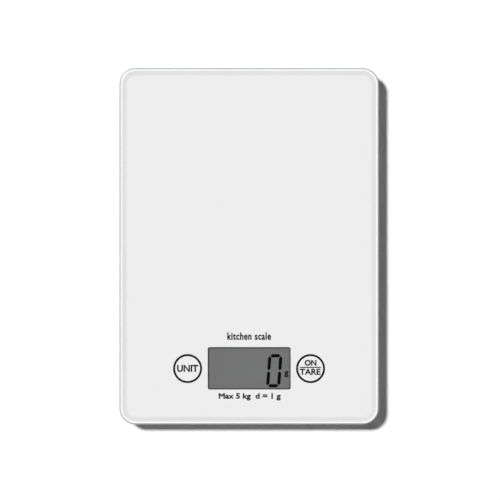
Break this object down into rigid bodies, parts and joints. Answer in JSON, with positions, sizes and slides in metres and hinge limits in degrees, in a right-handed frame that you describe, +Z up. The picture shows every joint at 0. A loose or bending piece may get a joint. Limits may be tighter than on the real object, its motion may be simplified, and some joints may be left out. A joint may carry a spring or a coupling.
{
  "type": "kitchen scale",
  "caption": "Slim electronic kitchen scale: printed glass weighing platform on a single load cell over a shallow base, with display, touch keys and coin cell bay.",
  "frame": {"origin": "centre of the footprint, on the surface the feet stand on", "axes": "+X to the right of the display, +Y to the back, away from the display, +Z up through the weighing surface"},
  "size_m": [0.142, 0.195, 0.016],
  "materials": {
    "clear_glass": "tempered, polished edge",
    "white_print": "white print on film",
    "foam_tape": "closed-cell foam",
    "plate_steel": "zinc plated",
    "screw_steel": "zinc plated",
    "beam_aluminium": "milled",
    "gauge_foil": "polyimide",
    "white_silicone": "cured silicone",
    "red_wire": "vinyl insulation",
    "black_wire": "vinyl insulation",
    "white_wire": "vinyl insulation",
    "green_wire": "vinyl insulation",
    "white_abs": "fine moulded grain",
    "adhesive_film": "transfer adhesive",
    "lcd_grey": "polariser",
    "lcd_glass": "thin display glass",
    "lcd_reflector": "matt reflector",
    "zebra_rubber": "layered elastomer",
    "green_board": "solder mask",
    "spring_steel": "plated spring wire",
    "black_epoxy": "poured epoxy",
    "chip_body": "moulded package",
    "tan_ceramic": "ceramic body",
    "black_ceramic": "ceramic body",
    "foot_rubber": "moulded rubber",
    "coin_steel": "nickel plated can",
    "contact_nickel": "plated phosphor bronze"
  },
  "bodies": {
    "base": {"load_cell": "beam_aluminium", "strain_gauges": "gauge_foil", "gauge_sealant": "white_silicone", "load_cell_base_plate": "plate_steel", "load_cell_screws": "screw_steel", "load_cell_wire_red": "red_wire", "load_cell_wire_black": "black_wire", "load_cell_wire_white": "white_wire", "load_cell_wire_green": "green_wire", "base_shell": "white_abs", "foot_front_left": "foot_rubber", "foot_front_right": "foot_rubber", "foot_rear_left": "foot_rubber", "foot_rear_right": "foot_rubber", "coin_cell": "coin_steel", "battery_contact_positive": "contact_nickel", "battery_contact_negative": "contact_nickel", "battery_wire_red": "red_wire", "battery_wire_black": "black_wire"},
    "platform": {"glass_platform": "clear_glass", "printed_film": "white_print", "mounting_tape": "foam_tape", "platform_plate": "plate_steel", "platform_spacer": "plate_steel", "platform_screws": "screw_steel", "display_frame": "white_abs", "frame_tape": "adhesive_film", "lcd_front_polariser": "lcd_grey", "lcd_front_glass": "lcd_glass", "lcd_rear_glass": "lcd_glass", "lcd_rear_reflector": "lcd_reflector", "zebra_strips": "zebra_rubber", "circuit_board": "green_board", "board_screws": "screw_steel", "touch_spring_left": "spring_steel", "touch_spring_right": "spring_steel", "chip_glob_top": "black_epoxy", "converter_chip": "chip_body", "board_capacitors": "tan_ceramic", "board_resistors": "black_ceramic"},
    "battery_door": {"battery_door": "white_abs"}
  },
  "joints": [
    {"name": "platform_load", "type": "slide", "parent": "base", "child": "platform", "axis": [0, 0, -1], "range_m": [0, 0.00035], "stiffness_N_per_m": 140000, "springref_m": -0.00003, "deforming": ["load_cell", "strain_gauges", "gauge_sealant", "load_cell_wire_red", "load_cell_wire_black", "load_cell_wire_white", "load_cell_wire_green", "battery_wire_red", "battery_wire_black"]},
    {"name": "battery_door_hinge", "type": "hinge", "parent": "base", "child": "battery_door", "pos_m": [0, 0.0715, 0.0022], "axis": [1, 0, 0], "range_deg": [0, 75]}
  ]
}
